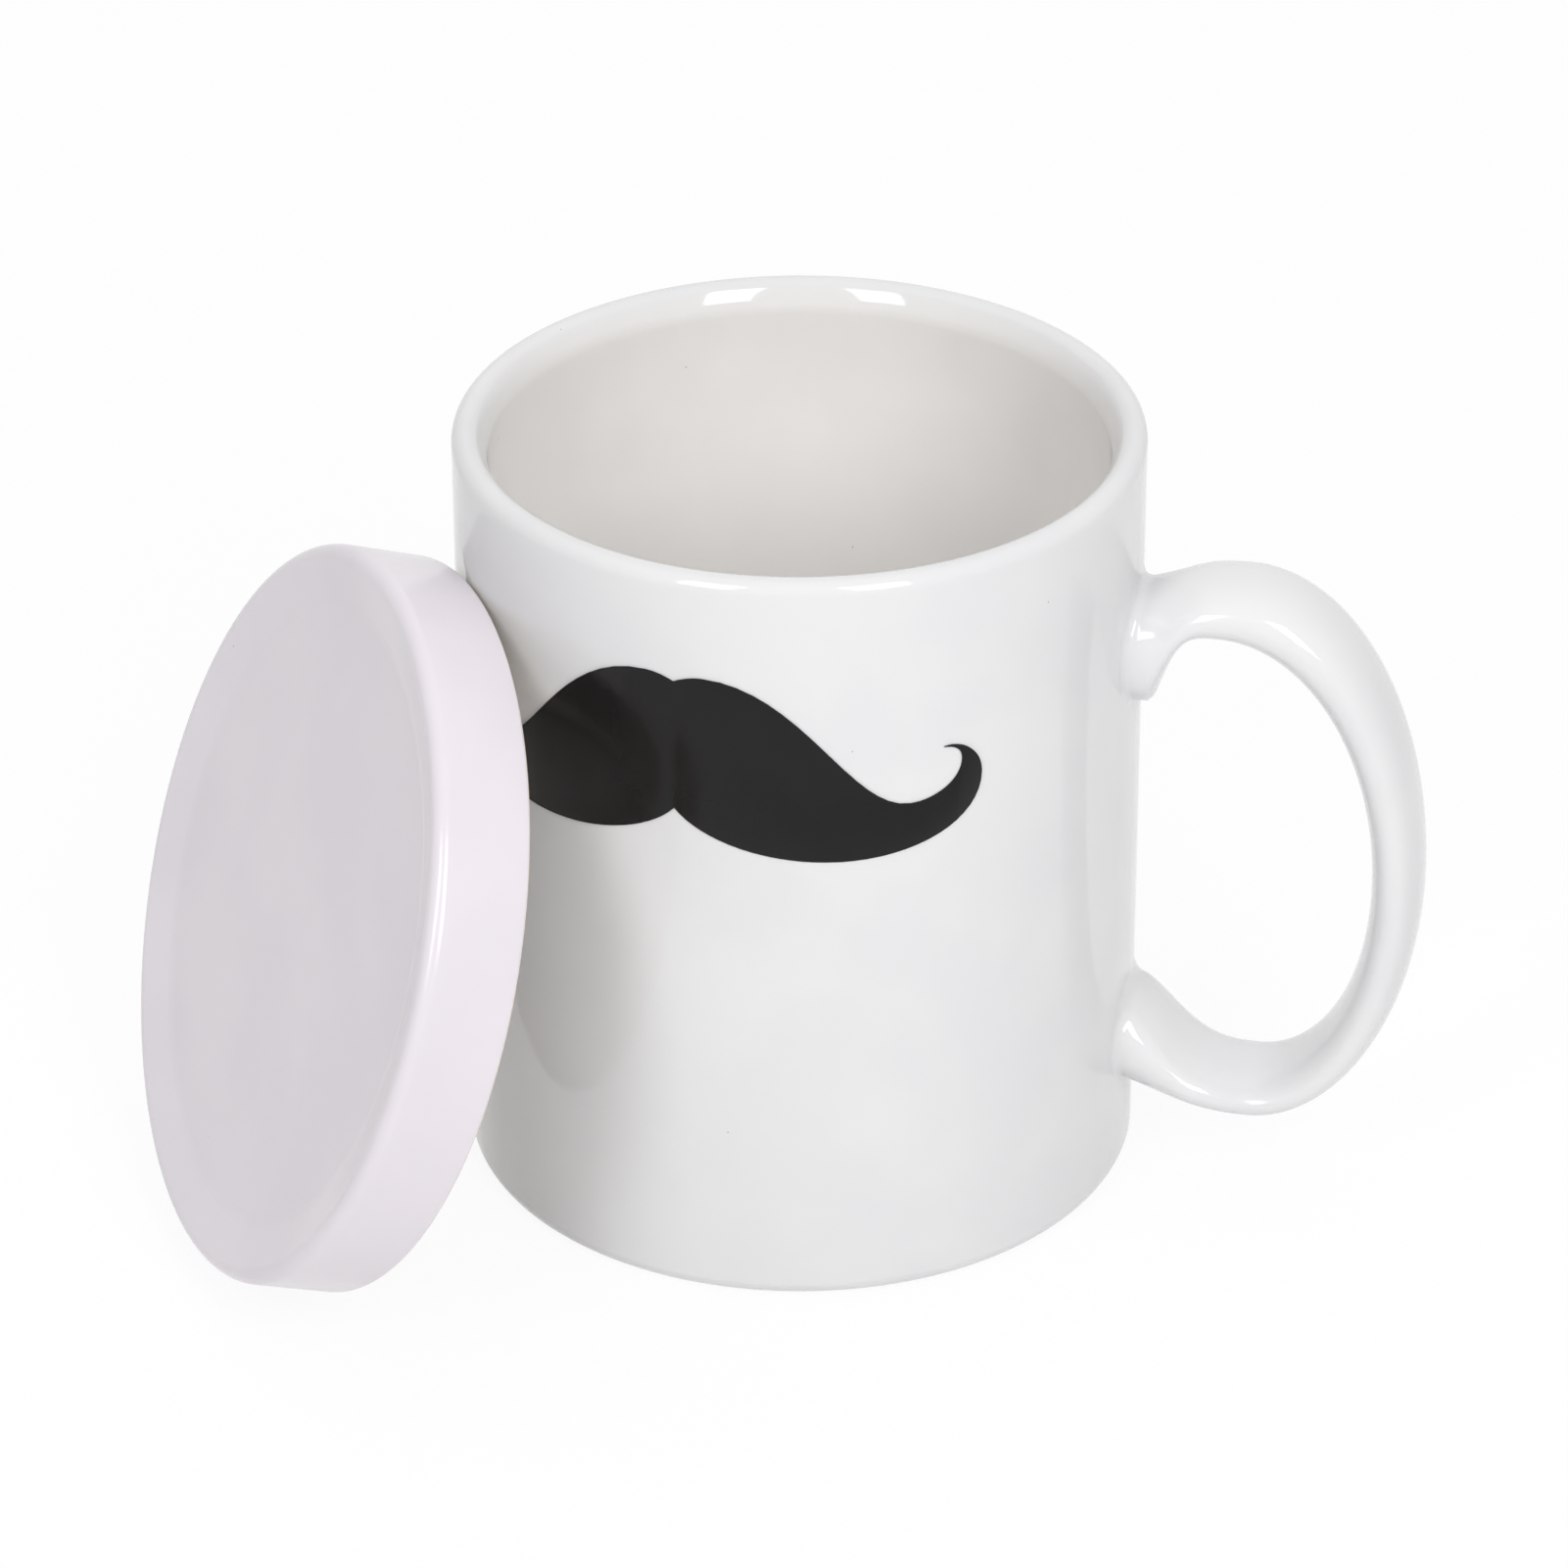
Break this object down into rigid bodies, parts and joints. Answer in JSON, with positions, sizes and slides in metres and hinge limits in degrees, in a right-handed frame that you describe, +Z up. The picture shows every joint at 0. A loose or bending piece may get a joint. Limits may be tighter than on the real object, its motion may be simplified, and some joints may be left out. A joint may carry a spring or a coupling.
{
  "type": "lidded mug",
  "caption": "Straight-sided white ceramic mug with a looped strap handle, a dark moustache printed on the wall and a loose dished lid leaning against it.",
  "frame": {"origin": "centre of the mug's foot ring, on the table", "axes": "+Z up along the mug's axis, +X towards the handle, the moustache faces -Y"},
  "size_m": [0.1568, 0.1166, 0.0965],
  "materials": {
    "mug_glaze": "clear gloss glaze over a white body",
    "lid_glaze": "gloss glaze over a white body, with a bare fired seat underneath",
    "print_ink": "fired near-black transfer under gloss"
  },
  "bodies": {
    "mug": {"mug_body": "mug_glaze", "mug_handle": "mug_glaze", "moustache_print": "print_ink"},
    "lid": {"lid": "lid_glaze"}
  },
  "joints": [
    {"name": "lid_lift", "type": "slide", "parent": "mug", "child": "lid", "axis": [0, 0, 1], "range_m": [0, 0.11]}
  ]
}
